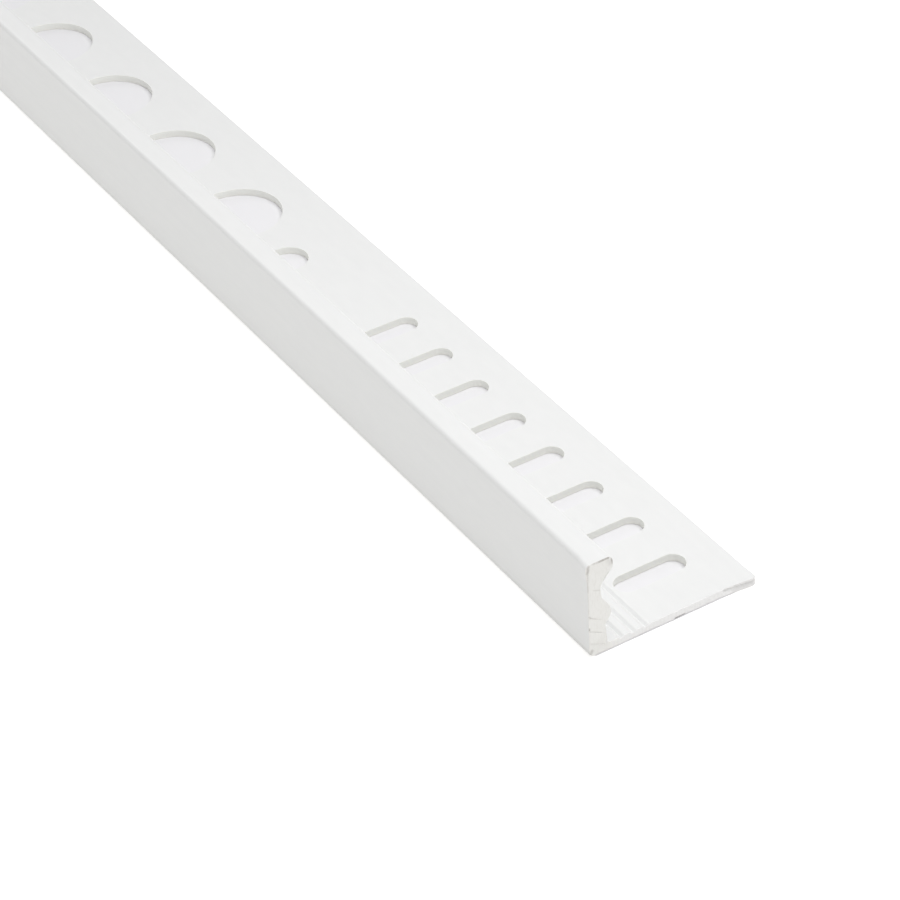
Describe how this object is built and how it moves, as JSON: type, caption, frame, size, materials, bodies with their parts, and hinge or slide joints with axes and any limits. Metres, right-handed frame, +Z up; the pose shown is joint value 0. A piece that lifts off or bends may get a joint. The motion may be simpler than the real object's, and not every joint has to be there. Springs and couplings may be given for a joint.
{
  "type": "tile edge trim",
  "caption": "Straight-edge L-shaped tile trim: an extruded face wall with a turned-in lip and spacer rib, on a flat anchoring leg punched with holes and slots.",
  "frame": {"origin": "middle of the anchoring leg's underside, halfway along the stock", "axes": "+X along the stock towards the end shown in the picture, +Y from the visible face towards the leg's free edge, +Z up from the leg to the lip"},
  "size_m": [1.83, 0.0216, 0.0125],
  "materials": {
    "white_pvc": "satin extruded rigid PVC"
  },
  "bodies": {
    "root": {"tile_trim": "white_pvc"}
  },
  "joints": []
}
